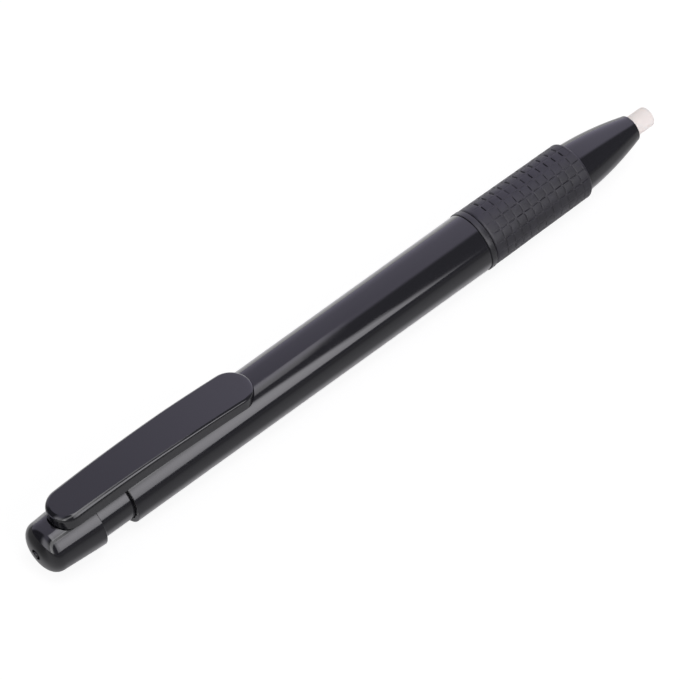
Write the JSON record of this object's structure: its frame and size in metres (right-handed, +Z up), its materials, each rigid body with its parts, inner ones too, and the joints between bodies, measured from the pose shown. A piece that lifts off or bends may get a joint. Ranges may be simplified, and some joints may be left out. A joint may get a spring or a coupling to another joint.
{
  "type": "pencil eraser stick",
  "caption": "Slim push-button eraser holder with a pocket clip, padded rubber grip, tapered nose and a round eraser stick.",
  "frame": {"origin": "middle of the bounding box in X and Y, at the lowest point of the collar ring", "axes": "+X along the pen towards the eraser's tip, +Z up, where the clip is"},
  "size_m": [0.1368, 0.0112, 0.0134],
  "materials": {
    "black_plastic": "glossy moulded",
    "collar_plastic": "satin gloss moulded",
    "grip_rubber": "matte moulded",
    "eraser": "matte vinyl",
    "core_plastic": "moulded",
    "white_plastic": "natural moulded",
    "spring_steel": "drawn wire",
    "ring_brass": "turned",
    "brake_rubber": "matte"
  },
  "bodies": {
    "barrel": {"barrel_tube": "black_plastic", "collar_ring": "collar_plastic", "rubber_grip": "grip_rubber", "grip_core": "core_plastic", "guide_sleeve": "white_plastic", "return_spring": "spring_steel"},
    "button": {"plunger_tube": "black_plastic", "spring_collar": "white_plastic", "magazine_tube": "white_plastic", "rear_bush": "white_plastic", "front_bush": "white_plastic", "collet_stem": "white_plastic"},
    "cap": {"push_cap": "black_plastic"},
    "clip": {"clip": "black_plastic"},
    "ring": {"clutch_ring": "ring_brass"},
    "jaw_1": {"jaw_1": "white_plastic"},
    "jaw_2": {"jaw_2": "white_plastic"},
    "jaw_3": {"jaw_3": "white_plastic"},
    "eraser": {"eraser_stick": "eraser"},
    "brake": {"eraser_brake": "brake_rubber"},
    "nose": {"nose_cone": "black_plastic"}
  },
  "joints": [
    {"name": "button_press", "type": "slide", "parent": "barrel", "child": "button", "axis": [1, 0, 0], "range_m": [0, 0.0055], "stiffness_N_per_m": 300, "springref_m": -0.006, "deforming": ["return_spring"]},
    {"name": "ring_travel", "type": "slide", "parent": "barrel", "child": "ring", "axis": [1, 0, 0], "range_m": [0, 0.0028]},
    {"name": "jaw_1_open", "type": "hinge", "parent": "button", "child": "jaw_1", "pos_m": [0.0392, 0, 0.00786], "axis": [0, -1, 0], "range_deg": [0, 1.05]},
    {"name": "jaw_2_open", "type": "hinge", "parent": "button", "child": "jaw_2", "pos_m": [0.0392, -0.00192, 0.00454], "axis": [0, 0.5, -0.866], "range_deg": [0, 1.05]},
    {"name": "jaw_3_open", "type": "hinge", "parent": "button", "child": "jaw_3", "pos_m": [0.0392, 0.00192, 0.00454], "axis": [0, 0.5, 0.866], "range_deg": [0, 1.05]},
    {"name": "cap_pull", "type": "slide", "parent": "button", "child": "cap", "axis": [-1, 0, 0], "range_m": [0, 0.016]},
    {"name": "clip_flex", "type": "hinge", "parent": "button", "child": "clip", "pos_m": [-0.0623, 0, 0.0089], "axis": [0, -1, 0], "range_deg": [0, 2.5], "stiffness_Nm_per_rad": 1.2},
    {"name": "eraser_feed", "type": "slide", "parent": "barrel", "child": "eraser", "axis": [1, 0, 0], "range_m": [-0.0042, 0.02]},
    {"name": "nose_advance", "type": "slide", "parent": "barrel", "child": "brake", "axis": [1, 0, 0], "range_m": [0, 0.005]},
    {"name": "nose_turn", "type": "hinge", "parent": "brake", "child": "nose", "pos_m": [0.0503, 0, 0.00565], "axis": [1, 0, 0], "range_deg": [0, 1801]}
  ],
  "couplings": [
    {"joint": "ring_travel", "follows": "button_press", "ratio": 0.5},
    {"joint": "jaw_1_open", "follows": "button_press", "rad_per_m": 3.17},
    {"joint": "jaw_2_open", "follows": "button_press", "rad_per_m": 3.17},
    {"joint": "jaw_3_open", "follows": "button_press", "rad_per_m": 3.17},
    {"joint": "nose_turn", "follows": "nose_advance", "rad_per_m": 6283.2}
  ]
}
